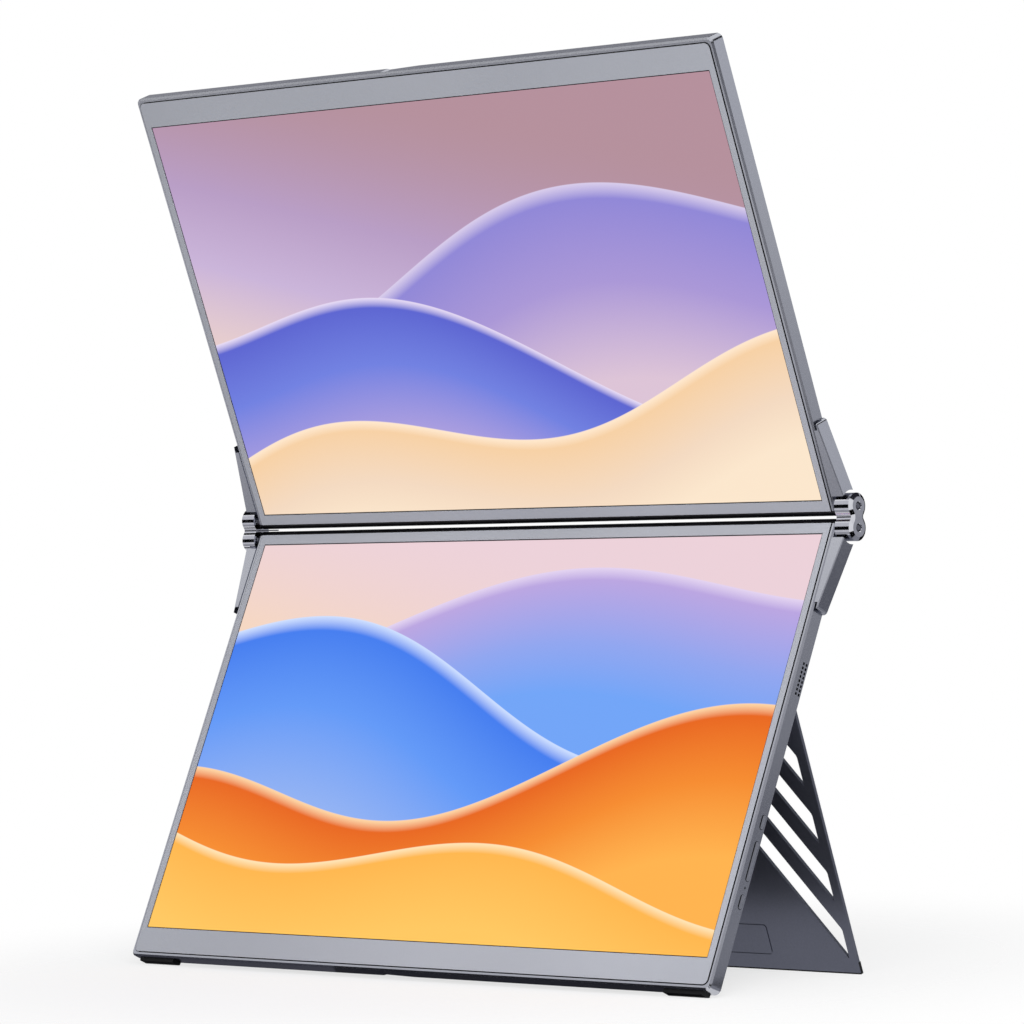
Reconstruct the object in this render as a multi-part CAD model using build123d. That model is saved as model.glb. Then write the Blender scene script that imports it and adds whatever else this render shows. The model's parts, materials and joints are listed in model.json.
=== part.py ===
from build123d import *
import os
from math import cos, radians, sin, sqrt, tan

# Dual-screen portable monitor: two flat panels joined by figure-eight links at their sides,
# standing on two rubber feet and a slotted kickstand. All lengths are millimetres.
#
# Each panel is drawn flat, by itself: X runs across it, Y away from its hinge axis and Z out of
# the screen. The hinge axis is the line Y = 0, Z = 0, in the middle of the panel's thickness.
# The lower panel is then turned over about that axis line, so that it hangs down from it.

# Display and panel
display_width = 344.16
display_height = 193.59
side_bezel = 3.38
far_bezel = 11.78
hinge_bezel = 4.7
bezel_groove = 0.32
bezel_corner = 2.6
rim_width = 1.7
rim_drop = 0.35
rim_bevel = 0.8
panel_thickness = 8.2
corner_radius = 2.7
rear_edge_bevel = 0.8
rear_wall = 1.2
ledge_width = 1.2
bezel_thickness = 0.95
glass_recess = 0.3
window_clearance = 0.15
display_flange = 1.2
display_thickness = 1.65
backlight_thickness = 0.9
scoop_reach = 19.0
scoop_ramp = 0.9
scoop_depth = 0.6
scoop_front = 2.2

# Stance
lower_tilt = 26.2
upper_tilt = 18.95
link_lean = 1.5

# Hinge
axis_spacing = 9.4
axis_to_display = 3.95
shell_start = 1.0
seam_gap = 0.1
barrel_end_gap = 0.15
tongue_reach = 5.0
tongue_end_gap = 4.4
tongue_thickness = 1.5
pin_radius = 1.6
pin_clearance = 0.05
pin_wall_gap = 0.6
pin_recess = 0.3
pin_countersink = 0.35
pin_bevel = 0.55
pin_tail = 2.0
knuckle_radius = 2.6
knuckle_length = 18.0
knuckle_clearance = 0.15
leaf_thickness = 1.2
leaf_width = 22.0
leaf_reach = 30.0
leaf_screw_inset = 6.0
washer_radius = 2.9
washer_gap = 0.12
washer_sides = 12
link_gap = 1.4
link_body = 7.95
link_bevel_length = 1.05
link_bevel_width = 1.7
lobe_radius = 5.7
waist_radius = 2.0
bridge_length = 10.5
bridge_tip = 2.6
bridge_half_depth = 3.2
bridge_thickness = 0.6
arm_reach = 39.2
arm_tip_step = 2.2
arm_flare = 7.5
arm_clearance = 1.3
arm_bevel = 0.4
arm_tip_radius = 1.6
notch_length = 3.2
notch_width = 1.8
notch_depth = 4.5

# Kickstand
stand_pivot = 81.0
stand_angle = 44.1
stand_roll = 2.2
stand_sheet = 1.5
stand_side_wall = 1.78
stand_gap = 0.3
recess_clearance = 0.2
recess_wall = 0.8
recess_end_gap = 0.5
rod_radius = 0.6
rod_clearance = 0.04
rod_seat = 1.0
slot_count = 4
slot_first = 23.1
slot_end_margin = 7.05
slot_height = 13.8
slot_angle = 55.0
slot_top = 12.0
slot_margin = 5.1
slot_margin_step = 0.33
slot_corner = 0.7
inset_half_length = 128.6
inset_end_gap = 7.4
inset_height = 14.4
inset_groove = 0.6
inset_depth = 0.35
inset_corner = 2.0
strip_height = 5.5
strip_lip = 0.8
strip_proud = 0.4
strip_cover = 1.1

# Feet
foot_length = 22.0
foot_inset = 5.0
foot_front = 2.4
foot_width = 5.0
foot_thickness = 1.6
foot_flat = 0.35

# Side controls
button_depth = 5.2
button_width = 2.2
button_length = 6.2
rocker_length = 17.6
power_button_inset = 76.54
rocker_inset = 58.94
back_button_inset = 40.74
button_pocket = 1.3
button_proud = 0.2
button_travel = 0.35
button_clearance = 0.15
button_gap = 0.25
stem_length = 3.0
stem_spread = 6.0
stem_top = 0.05
stem_thickness = 0.75
stem_end_gap = 1.6
flange_thickness = 0.7
flange_gap = 0.3
flange_overhang = 0.8
led_inset = 47.04
led_radius = 0.5
led_length = 1.4
led_clearance = 0.05

# Electronics
board_thickness = 1.0
standoff_height = 1.2
standoff_radius = 2.2
main_board_width = 228.0
main_board_gap = 0.18
board_start = 40.5
board_height = 21.0
driver_board_half_width = 70.0
driver_board_start = 34.0
board_screw_inset = 4.0
chip_height = 0.9
button_board_width = 7.0
button_board_thickness = 0.6
button_board_margin = 3.0
switch_depth = 2.4
switch_height = 0.7
switch_length = 4.0
peg_sides = 6
screw_head_radius = 1.6
screw_head_height = 0.7
screw_shank_radius = 0.8
screw_bite = 0.8
screw_clearance = 0.1
speaker_width = 16.0
speaker_start = 62.0
speaker_length = 15.5
speaker_height = 3.2
grille_rows = 8
grille_columns = 2
grille_start = 62.9
grille_pitch = 1.95
grille_front = 4.2
grille_hole_length = 1.2
grille_hole_width = 1.1
usb_width = 8.94
usb_height = 3.2
usb_wall = 0.3
usb_length = 9.0
usb_first = 44.5
usb_spacing = 11.0
usb_clearance = 0.15
usb_tongue_width = 6.7
usb_tongue_thickness = 0.7
usb_tongue_set_back = 0.7
usb_back_wall = 2.6
usb_set_back = 0.3

# One overrun serves all cuts
overrun = 1.0

# Places of the chips as shares of their board: across, along, width, height
main_chip_shares = [(0.28, 0.5, 0.07, 0.6), (0.48, 0.42, 0.045, 0.4), (0.64, 0.6, 0.03, 0.3)]
driver_chip_shares = [(0.3, 0.5, 0.12, 0.45), (0.66, 0.5, 0.07, 0.4)]

# Worked out from the values above
half_thick = panel_thickness / 2
rim_front = half_thick - rim_drop
half_width = display_width / 2 + side_bezel + bezel_groove + rim_width
display_far = axis_to_display + display_height
far_edge = display_far + far_bezel + bezel_groove + rim_width
bezel_near = axis_to_display - hinge_bezel
bezel_far = display_far + far_bezel
bezel_half_width = display_width / 2 + side_bezel
bezel_under = half_thick - bezel_thickness
backlight_under = bezel_under - display_thickness - backlight_thickness
cavity_half_width = half_width - rim_width - ledge_width
cavity_far = far_edge - rim_width - ledge_width
deep_floor = -half_thick + rear_wall
barrel_half_length = half_width - barrel_end_gap
knuckle_end = cavity_half_width - knuckle_clearance
link_inner = half_width + link_gap
link_outer = link_inner + link_body + link_bevel_length
stand_half_width = half_width - stand_side_wall - stand_gap
stand_axis_z = -half_thick + stand_roll / 2
recess_near = stand_pivot - stand_roll / 2 - stand_gap
recess_floor = -half_thick + stand_roll + recess_clearance
shallow_floor = recess_floor + recess_wall
button_z = half_thick - button_depth
power_button_place = far_edge - power_button_inset
rocker_place = far_edge - rocker_inset
back_button_place = far_edge - back_button_inset
led_place = far_edge - led_inset
main_board_left = usb_set_back + usb_length + main_board_gap - half_width
main_board_right = main_board_left + main_board_width
board_under = deep_floor + standoff_height
board_top = board_under + board_thickness

# Heights over the floor, with the feet standing on it
foot_rear_z = half_thick - foot_front - foot_width
tilt_up = cos(radians(lower_tilt))
tilt_out = sin(radians(lower_tilt))
lower_axis_height = (far_edge + foot_thickness) * tilt_up - foot_rear_z * tilt_out - foot_flat
stand_axis_height = lower_axis_height - stand_pivot * tilt_up + stand_axis_z * tilt_out
stand_lean = stand_angle - lower_tilt
stand_length = stand_axis_height / cos(radians(stand_lean))
stand_end = stand_pivot + stand_length
recess_far = stand_end + recess_end_gap
slot_pitch = (stand_length - slot_first - slot_height - slot_end_margin) / (slot_count - 1)
inset_start = stand_length - inset_end_gap - inset_height


# Drawing helpers

def block(low, high):
    """Box between two corners."""
    middle = [(a + b) / 2 for a, b in zip(low, high)]
    size = [b - a for a, b in zip(low, high)]
    return Pos(*middle) * Box(*size)


def bar(start, end, radius, y=0, z=0):
    """Round bar along X."""
    return Pos((start + end) / 2, y, z) * Rot(0, 90, 0) * Cylinder(radius, end - start)


def outline(half, near, far, radius):
    """Rectangle across a panel, with the two corners away from the hinge rounded."""
    face = Pos(0, (near + far) / 2) * Rectangle(2 * half, far - near)
    return fillet(face.vertices().group_by(Axis.Y)[-1], radius)


def slab(face, low, high):
    """Flat face carried from one height to another."""
    return extrude(Pos(0, 0, low) * face, amount=high - low)


def peg(x, y, low, high, radius):
    """Upright peg along Z, drawn with few sides: the small hidden screws, their holes and bosses."""
    return slab(Pos(x, y) * RegularPolygon(radius, peg_sides), low, high)


def plate(points, low, high):
    """Straight-sided outline in XY carried from one height to another."""
    return slab(make_face(Polyline(*points, close=True)), low, high)


def side_slot(start, end, y, z, length, width):
    """Round-ended slot that runs along X, lying along Y in the side wall."""
    face = Plane.YZ.offset(start) * Pos(y, z) * SlotOverall(length, width)
    return extrude(face, amount=end - start)


def flip(shape):
    """The same piece for the other side of the panel."""
    return mirror(shape, about=Plane.YZ)


# Panel pieces

def shell_tray():
    """Metal tray: bevelled front rim and rear edge, ledge for the bezel, and finger scoop."""
    inner_half = half_width - rim_width
    inner_far = far_edge - rim_width
    tray = slab(outline(half_width, bezel_near, far_edge, corner_radius), -half_thick, rim_front)
    rear_edges = tray.faces().sort_by(Axis.Z)[0].edges().sort_by(Axis.Y)[1:]
    tray = chamfer(rear_edges, rear_edge_bevel)
    rim_edges = tray.faces().sort_by(Axis.Z)[-1].edges().sort_by(Axis.Y)[1:]
    tray = chamfer(rim_edges, rim_bevel)
    bezel_seat = outline(inner_half, bezel_near - overrun, inner_far, bezel_corner + bezel_groove)
    tray -= slab(bezel_seat, bezel_under, half_thick + overrun)
    wide = half_width + overrun
    tray -= block((-wide, bezel_near - overrun, -half_thick - overrun), (wide, shell_start, bezel_under))
    tray -= bar(-wide, wide, pin_radius + pin_wall_gap)
    scoop = [
        (-scoop_reach, far_edge + overrun),
        (-scoop_reach, far_edge),
        (scoop_ramp - scoop_reach, far_edge - scoop_depth),
        (0, far_edge),
        (0, far_edge + overrun),
    ]
    return tray - plate(scoop, -half_thick - overrun, half_thick - scoop_front)


def hollow(tray, near, far, floor):
    """Cut the inside of a tray down to a floor."""
    low = (-cavity_half_width, near, floor)
    return tray - block(low, (cavity_half_width, far, half_thick + overrun))


def standoffs(tray, places):
    """Stand a board's bosses in the tray, each with its screw hole."""
    for x, y in places:
        tray += peg(x, y, deep_floor, board_under, standoff_radius)
        tray -= peg(x, y, board_under - screw_bite, board_under + overrun, screw_shank_radius)
    return tray


def leaf_screw_places():
    """Where the hinge leaves are screwed down, on both sides."""
    x = knuckle_end - leaf_width / 2
    ends = (shell_start + leaf_screw_inset, leaf_reach - leaf_screw_inset)
    return [(side * x, y) for side in (-1, 1) for y in ends]


def leaf_holes(tray):
    """Blind holes under the hinge leaves for their screws."""
    for x, y in leaf_screw_places():
        tray -= peg(x, y, deep_floor - screw_bite, deep_floor + overrun, screw_shank_radius)
    return tray


def upper_shell():
    """Tray of the upper panel."""
    tray = hollow(shell_tray(), bezel_near - overrun, cavity_far, deep_floor)
    return leaf_holes(standoffs(tray, driver_board_screws()))


def lower_shell():
    """Tray of the lower panel, with the kickstand's recess, the controls, the grilles and the sockets."""
    tray = hollow(shell_tray(), bezel_near - overrun, recess_near - recess_wall, deep_floor)
    tray = hollow(tray, recess_near - recess_wall - overrun, cavity_far, shallow_floor)
    recess_half = stand_half_width + stand_gap
    low = (-recess_half, recess_near, -half_thick - overrun)
    tray -= block(low, (recess_half, recess_far, recess_floor))
    rod_end = recess_half + rod_seat
    tray -= bar(-rod_end, rod_end, rod_radius + rod_clearance, stand_pivot, stand_axis_z)
    tray = leaf_holes(standoffs(tray, main_board_screws()))
    pocket_floor = half_width - button_pocket
    for place, length, stems in controls():
        size = (length + 2 * button_gap, button_width + 2 * button_gap)
        tray -= side_slot(pocket_floor, half_width + overrun, place, button_z, *size)
        for stem in stems:
            reach = stem_length / 2 + button_clearance
            stem_low = -stem_top - stem_thickness - button_clearance
            low = (cavity_half_width - overrun, place + stem - reach, stem_low)
            tray -= block(low, (pocket_floor + overrun, place + stem + reach, button_clearance - stem_top))
    led_floor = half_width - led_length
    tray -= bar(led_floor, half_width + overrun, led_radius + led_clearance, led_place, button_z)
    hole_half = (grille_hole_length / 2, grille_hole_width / 2)
    for row in range(grille_rows):
        for column in range(grille_columns):
            y = grille_start + row * grille_pitch
            z = half_thick - grille_front - column * grille_pitch
            low = (cavity_half_width - overrun, y - hole_half[0], z - hole_half[1])
            hole = block(low, (half_width + overrun, y + hole_half[0], z + hole_half[1]))
            tray -= hole
            tray -= flip(hole)
    for place in usb_places():
        size = (usb_width + 2 * usb_clearance, usb_height + 2 * usb_clearance)
        tray -= side_slot(-half_width - overrun, overrun - cavity_half_width, place, usb_z(), *size)
    return tray


def bezel():
    """Flat front frame with the display's window."""
    face = outline(bezel_half_width, bezel_near, bezel_far, bezel_corner)
    frame = slab(face, bezel_under, half_thick)
    half = display_width / 2
    return frame - block(
        (-half, axis_to_display, bezel_under - overrun), (half, display_far, half_thick + overrun)
    )


def display():
    """Display whose glass stands up into the bezel's window from a wider flange behind it."""
    half = display_width / 2
    rear = bezel_under - display_thickness
    flange_low = (-half - display_flange, axis_to_display - display_flange, rear)
    flange_high = (half + display_flange, display_far + display_flange, bezel_under)
    glass_low = (-half + window_clearance, axis_to_display + window_clearance, rear)
    glass_high = (half - window_clearance, display_far - window_clearance, half_thick - glass_recess)
    return block(flange_low, flange_high) + block(glass_low, glass_high)


def backlight():
    """Light guide and its plate behind the display."""
    half = display_width / 2 + display_flange
    low = (-half, axis_to_display - display_flange, backlight_under)
    return block(low, (half, display_far + display_flange, bezel_under - display_thickness))


def barrel():
    """Half-round strip round the hinge axis, with a pocket for each bracket's knuckle."""
    near = bezel_near - seam_gap
    far = shell_start - seam_gap
    under_bezel = bezel_under - seam_gap
    front = (near, sqrt(half_thick**2 - near**2))
    rear = (far, -sqrt(half_thick**2 - far**2))
    round_edge = ThreePointArc(front, (-half_thick, 0), rear)
    back_edge = Polyline(rear, (far, under_bezel), (near, under_bezel), front)
    face = Plane.YZ.offset(-barrel_half_length) * make_face(round_edge + back_edge)
    strip = extrude(face, amount=2 * barrel_half_length)
    tongue_low = deep_floor + seam_gap
    tongue_half_length = knuckle_end - leaf_width - tongue_end_gap
    low = (-tongue_half_length, far - seam_gap, tongue_low)
    strip += block(low, (tongue_half_length, tongue_reach, tongue_low + tongue_thickness))
    pocket_start = knuckle_end - knuckle_length - knuckle_clearance
    pocket = bar(pocket_start, cavity_half_width, knuckle_radius + knuckle_clearance)
    bore = bar(pocket_start, half_width + overrun, pin_radius + pin_clearance)
    return strip - pocket - flip(pocket) - bore - flip(bore)


def bracket():
    """Steel hinge bracket of the right side: a knuckle on the pin and a leaf on the tray's floor."""
    knuckle = bar(knuckle_end - knuckle_length, knuckle_end, knuckle_radius)
    low = (knuckle_end - leaf_width, shell_start, deep_floor)
    leaf = block(low, (knuckle_end, leaf_reach, deep_floor + leaf_thickness))
    solid = knuckle + leaf - bar(0, half_width, pin_radius + pin_clearance)
    for x, y in leaf_screw_places():
        radius = screw_shank_radius + screw_clearance
        solid -= peg(x, y, deep_floor - overrun, deep_floor + leaf_thickness + overrun, radius)
    return solid


def pin():
    """Hinge pin of the right side, from the knuckle out through the link."""
    end = link_outer - pin_recess
    shaft = bar(knuckle_end - knuckle_length + pin_tail, end, pin_radius)
    return chamfer(shaft.edges().sort_by(Axis.X)[-1], pin_bevel)


def washer():
    """Friction washer on the pin, between the panel's side and the link, drawn with few sides."""
    start = half_width + washer_gap
    end = link_inner - washer_gap
    bore = RegularPolygon(pin_radius + pin_clearance, washer_sides, major_radius=False)
    ring = RegularPolygon(washer_radius, washer_sides) - bore
    return extrude(Plane.YZ.offset(start) * ring, amount=end - start)


def arm():
    """Wedge cover of the right side, cut round the link and notched at its tip."""
    points = [
        (half_width, 0),
        (half_width + arm_flare, 0),
        (half_width + arm_tip_step, arm_reach),
        (half_width, arm_reach),
    ]
    wedge = plate(points, -half_thick + rear_edge_bevel, rim_front)
    outer_edge = wedge.faces().sort_by(Axis.Z)[-1].edges().sort_by(Axis.X)[-1]
    wedge = chamfer(outer_edge, arm_bevel)
    tip_edge = wedge.edges().filter_by(Axis.Z).group_by(Axis.Y)[-1].sort_by(Axis.X)[-1]
    wedge = fillet(tip_edge, arm_tip_radius)
    wedge -= bar(half_width - overrun, link_outer, lobe_radius + arm_clearance)
    low = (half_width - overrun, arm_reach - notch_length, rim_front - notch_depth)
    return wedge - block(low, (half_width + notch_width, arm_reach + overrun, rim_front + overrun))


def screw(x, y, seat, bite):
    """Pan-head screw that goes down through what it holds."""
    head = peg(x, y, seat, seat + screw_head_height, screw_head_radius)
    return head + peg(x, y, bite, seat, screw_shank_radius)


def leaf_screws():
    """Four screws of a panel's two hinge leaves."""
    seat = deep_floor + leaf_thickness
    return [screw(x, y, seat, deep_floor - screw_bite) for x, y in leaf_screw_places()]


def board(left, right, start, chip_shares, screw_places):
    """Circuit board on its standoffs, with its main chips."""
    solid = block((left, start, board_under), (right, start + board_height, board_top))
    width = right - left
    for across, along, wide, high in chip_shares:
        x = left + across * width
        y = start + along * board_height
        reach = (wide * width / 2, high * board_height / 2)
        low = (x - reach[0], y - reach[1], board_under)
        solid += block(low, (x + reach[0], y + reach[1], board_top + chip_height))
    for x, y in screw_places:
        solid -= peg(x, y, board_under - overrun, board_top + overrun, screw_shank_radius + screw_clearance)
    return solid


def corner_places(left, right, start):
    """Screw places in the corners of a board."""
    ys = (start + board_screw_inset, start + board_height - board_screw_inset)
    return [(x, y) for x in (left + 2 * board_screw_inset, right - board_screw_inset) for y in ys]


def main_board_screws():
    """Screw places of the main board, clear of the sockets."""
    return corner_places(main_board_left + usb_length, main_board_right, board_start)


def driver_board_screws():
    """Screw places of the upper panel's driver board."""
    return corner_places(-driver_board_half_width, driver_board_half_width, driver_board_start)


def board_screws(places):
    """Screws that hold a board on its standoffs."""
    return [screw(x, y, board_top, board_under - screw_bite) for x, y in places]


# Pieces of the lower panel alone

def controls():
    """Place, length and stem offsets of the power button, the rocker and the back button."""
    return [
        (power_button_place, button_length, (0,)),
        (rocker_place, rocker_length, (-stem_spread, stem_spread)),
        (back_button_place, button_length, (0,)),
    ]


def control(place, length, stems):
    """Button: a round-ended cap in its pocket, with stems through the wall and a flange behind it."""
    cap_back = half_width - button_pocket + button_travel + button_clearance
    solid = side_slot(cap_back, half_width + button_proud, place, button_z, length, button_width)
    stem_low = -stem_top - stem_thickness
    stem_end = cavity_half_width - stem_end_gap
    flange_front = cavity_half_width - flange_gap
    for stem in stems:
        y = place + stem
        reach = stem_length / 2
        solid += block((stem_end, y - reach, stem_low), (cap_back + button_clearance, y + reach, -stem_top))
        reach += flange_overhang
        low = (flange_front - flange_thickness, y - reach, stem_low)
        solid += block(low, (flange_front, y + reach, -stem_top))
    return solid


def button_board():
    """Strip board on the recess's wall, with one side-push switch behind each stem."""
    switch_face = cavity_half_width - stem_end_gap - button_travel - button_clearance
    board_edge = switch_face - switch_depth / 2
    start = power_button_place - button_length / 2 - button_board_margin
    end = back_button_place + button_length / 2 + button_board_margin
    top = shallow_floor + button_board_thickness
    solid = block((board_edge - button_board_width, start, shallow_floor), (board_edge, end, top))
    for place, length, stems in controls():
        for stem in stems:
            low = (switch_face - switch_depth, place + stem - switch_length / 2, shallow_floor)
            high = (switch_face, place + stem + switch_length / 2, top + switch_height)
            solid += block(low, high)
    return solid


def status_led():
    """Light pipe beside the rocker."""
    return bar(half_width - led_length + led_clearance, half_width, led_radius, led_place, button_z)


def speaker():
    """Speaker of the right side, behind its grille."""
    low = (cavity_half_width - speaker_width, speaker_start, deep_floor)
    return block(low, (cavity_half_width, speaker_start + speaker_length, deep_floor + speaker_height))


def usb_places():
    """How far each USB-C socket is from the hinge axis."""
    return [usb_first, usb_first + usb_spacing]


def usb_z():
    """Height of the sockets: level with the middle of the board."""
    return board_under + board_thickness / 2


def usb_socket(place):
    """USB-C socket: a round-ended tube in the left wall, with its tongue and back wall."""
    mouth = -half_width + usb_set_back
    back = mouth + usb_length
    tube = side_slot(mouth, back, place, usb_z(), usb_width, usb_height)
    inner = (usb_width - 2 * usb_wall, usb_height - 2 * usb_wall)
    tube -= side_slot(mouth - overrun, back - usb_back_wall, place, usb_z(), *inner)
    half_tongue = (usb_tongue_width / 2, usb_tongue_thickness / 2)
    low = (mouth + usb_tongue_set_back, place - half_tongue[0], usb_z() - half_tongue[1])
    return tube + block(low, (back, place + half_tongue[0], usb_z() + half_tongue[1]))


def foot():
    """Rubber foot of the right side, on the far edge of the tray. The floor cuts it flat later."""
    outer = half_width - foot_inset
    low = (outer - foot_length, far_edge, half_thick - foot_front - foot_width)
    return block(low, (outer, far_edge + foot_thickness, half_thick - foot_front))


def stand_rod():
    """Rod that the kickstand turns on, seated in the tray's side walls."""
    end = stand_half_width + stand_gap + rod_seat - rod_clearance
    return bar(-end, end, rod_radius, stand_pivot, stand_axis_z)


# Kickstand, drawn folded into its recess

def slot_shape(index):
    """Slanted slot of the right half: its outer end runs along the plate's side, its top along the hinge."""
    right = stand_half_width - slot_margin + index * slot_margin_step
    top = stand_pivot + slot_top
    upper = stand_pivot + slot_first + index * slot_pitch
    lower = upper + slot_height
    slope = tan(radians(slot_angle))
    points = [
        (right, upper),
        (right, lower),
        (right - (lower - top) / slope, top),
        (right - (upper - top) / slope, top),
    ]
    face = make_face(Polyline(*points, close=True))
    return chamfer(face.vertices().sort_by(Axis.X)[-2:], slot_corner)


def stand_plate():
    """Slotted plate, rolled round its rod at the top and rebated at the bottom for the rubber strip."""
    outer = -half_thick
    inner = outer + stand_sheet
    half = stand_half_width
    solid = block((-half, stand_pivot, outer), (half, stand_end - strip_lip, inner))
    solid += bar(-half, half, stand_roll / 2, stand_pivot, stand_axis_z)
    solid -= bar(-half - overrun, half + overrun, rod_radius + rod_clearance, stand_pivot, stand_axis_z)
    for index in range(slot_count):
        slot = slab(slot_shape(index), outer - overrun, inner + overrun)
        solid -= slot
        solid -= flip(slot)
    middle = Pos(0, stand_pivot + inset_start + inset_height / 2)
    groove = RectangleRounded(2 * inset_half_length, inset_height, inset_corner)
    groove -= RectangleRounded(
        2 * (inset_half_length - inset_groove), inset_height - 2 * inset_groove, inset_corner - inset_groove
    )
    solid -= slab(middle * groove, inner - inset_depth, inner + overrun)
    low = (-half - overrun, stand_end - strip_height, outer - overrun)
    return solid - block(low, (half + overrun, stand_end, outer + strip_cover))


def stand_strip():
    """Rubber strip that wraps the plate's lower edge from behind. The floor cuts it flat later."""
    outer = -half_thick
    half = stand_half_width
    low = (-half, stand_end - strip_height, outer - strip_proud)
    cover = block(low, (half, stand_end, outer + strip_cover))
    low = (-half, stand_end - strip_lip, outer + strip_cover)
    return cover + block(low, (half, stand_end, outer + stand_sheet))


def swing_open(shape):
    """Turn the kickstand out about its rod."""
    out = Pos(0, stand_pivot, stand_axis_z) * Rot(-stand_angle, 0, 0)
    return out * Pos(0, -stand_pivot, -stand_axis_z) * shape


# Links, drawn with the lower axis at the origin and the upper axis along Y

def eight(inset):
    """Figure-eight outline: two round lobes, with a hollow of the waist's radius between them."""
    lobe = lobe_radius - inset
    waist = waist_radius + inset
    middle = axis_spacing / 2
    side = sqrt((lobe + waist) ** 2 - middle**2)
    touch_y = middle * lobe / (lobe + waist)
    touch_z = side * lobe / (lobe + waist)
    neck = side - waist
    far_y = axis_spacing - touch_y
    edge = ThreePointArc((touch_y, touch_z), (-lobe, 0), (touch_y, -touch_z))
    edge += ThreePointArc((touch_y, -touch_z), (middle, -neck), (far_y, -touch_z))
    edge += ThreePointArc((far_y, -touch_z), (axis_spacing + lobe, 0), (far_y, touch_z))
    edge += ThreePointArc((far_y, touch_z), (middle, neck), (touch_y, touch_z))
    return make_face(edge)


def link():
    """Link of the right side: bevelled at its outer end, with a countersunk bore for each pin."""
    bevel_start = link_inner + link_body
    solid = extrude(Plane.YZ.offset(link_inner) * eight(0), amount=link_body)
    near = Plane.YZ.offset(bevel_start) * eight(0)
    far = Plane.YZ.offset(link_outer) * eight(link_bevel_width)
    solid += loft([near, far], ruled=True)
    for y in (0, axis_spacing):
        solid -= bar(link_inner - overrun, link_outer + overrun, pin_radius + pin_clearance, y)
    end_face = solid.faces().sort_by(Axis.X)[-1]
    bore_edges = [wire.edges() for wire in end_face.inner_wires()]
    return chamfer([edge for edges in bore_edges for edge in edges], pin_countersink)


def cable_bridge():
    """Flat pointed tongue in the slit between the two barrels, on the left link."""
    root = -link_inner
    tip = root + bridge_length
    points = [
        (root, -bridge_half_depth),
        (tip - bridge_tip, -bridge_half_depth),
        (tip, 0),
        (tip - bridge_tip, bridge_half_depth),
        (root, bridge_half_depth),
    ]
    base = Plane(origin=(0, (axis_spacing - bridge_thickness) / 2, 0), x_dir=(1, 0, 0), z_dir=(0, 1, 0))
    return extrude(base * make_face(Polyline(*points, close=True)), amount=bridge_thickness)


# Places of the drawn pieces in the standing monitor, before its box is centred

def leaning(origin, back):
    """Plane of something that leans back by an angle, with its own Y upwards and Z to the front."""
    lean = radians(back)
    return Plane(origin=origin, x_dir=(1, 0, 0), z_dir=(0, -cos(lean), sin(lean)))


lower_plane = leaning((0, 0, lower_axis_height), lower_tilt)
link_plane = leaning((0, 0, lower_axis_height), link_lean)
upper_axis = link_plane.from_local_coords(Vector(0, axis_spacing, 0))
upper_plane = leaning((upper_axis.X, upper_axis.Y, upper_axis.Z), -upper_tilt)


def hang(shape):
    """Place a drawn piece in the lower panel, turned over to hang from its axis."""
    return lower_plane.location * mirror(shape, about=Plane.XZ)


def stand(shape):
    """Place a drawn piece in the upper panel."""
    return upper_plane.location * shape


def on_link(shape):
    """Place a drawn piece with the links."""
    return link_plane.location * shape


def floor_cut(shape):
    """Cut a placed rubber piece flat where it stands on the floor."""
    return split(shape, bisect_by=Plane.XY, keep=Keep.TOP)


def pair(name, shape, place):
    """The left and right copies of a piece, as two nodes."""
    return {name + "_left": place(flip(shape)), name + "_right": place(shape)}


def panel_nodes(name, place, shell):
    """Nodes that both panels have."""
    nodes = {
        name + "_rear_shell": place(shell),
        name + "_bezel": place(bezel()),
        name + "_display": place(display()),
        name + "_backlight": place(backlight()),
        name + "_hinge_barrel": place(barrel()),
    }
    nodes.update(pair(name + "_hinge_bracket", bracket(), place))
    nodes.update(pair(name + "_hinge_arm", arm(), place))
    nodes.update(pair(name + "_hinge_pin", pin(), place))
    nodes[name + "_friction_washers"] = Compound(children=[place(washer()), place(flip(washer()))])
    nodes[name + "_bracket_screws"] = Compound(children=[place(each) for each in leaf_screws()])
    return nodes


nodes = panel_nodes("lower", hang, lower_shell())
main_places = main_board_screws()
main_board = board(main_board_left, main_board_right, board_start, main_chip_shares, main_places)
nodes["main_board"] = hang(main_board)
nodes["main_board_screws"] = Compound(children=[hang(each) for each in board_screws(main_places)])
nodes["button_board"] = hang(button_board())
nodes["status_led"] = hang(status_led())
nodes.update(pair("speaker", speaker(), hang))
for index, place in enumerate(usb_places()):
    nodes[f"usb_c_socket_{index + 1}"] = hang(usb_socket(place))
nodes.update(pair("foot", foot(), lambda shape: floor_cut(hang(shape))))
nodes["stand_rod"] = hang(stand_rod())
nodes["stand_plate"] = hang(swing_open(stand_plate()))
nodes["stand_foot_strip"] = floor_cut(hang(swing_open(stand_strip())))
for name, values in zip(("power_button", "menu_rocker", "back_button"), controls()):
    nodes[name] = hang(control(*values))

nodes.update(pair("hinge_link", link(), on_link))
nodes["cable_bridge"] = on_link(cable_bridge())

nodes.update(panel_nodes("upper", stand, upper_shell()))
driver_places = driver_board_screws()
driver_board = board(
    -driver_board_half_width, driver_board_half_width, driver_board_start, driver_chip_shares, driver_places
)
nodes["driver_board"] = stand(driver_board)
nodes["driver_board_screws"] = Compound(children=[stand(each) for each in board_screws(driver_places)])

# The origin is on the floor, under the middle of the whole part's box
solids = [solid for shape in nodes.values() for solid in shape.solids()]
whole = Compound(children=solids).bounding_box()
centre = Pos(0, -(whole.min.Y + whole.max.Y) / 2, 0)

os.makedirs("parts", exist_ok=True)
for name, shape in nodes.items():
    export_step(centre * shape, f"parts/{name}.step")


# Joint axes of the standing monitor

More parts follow.
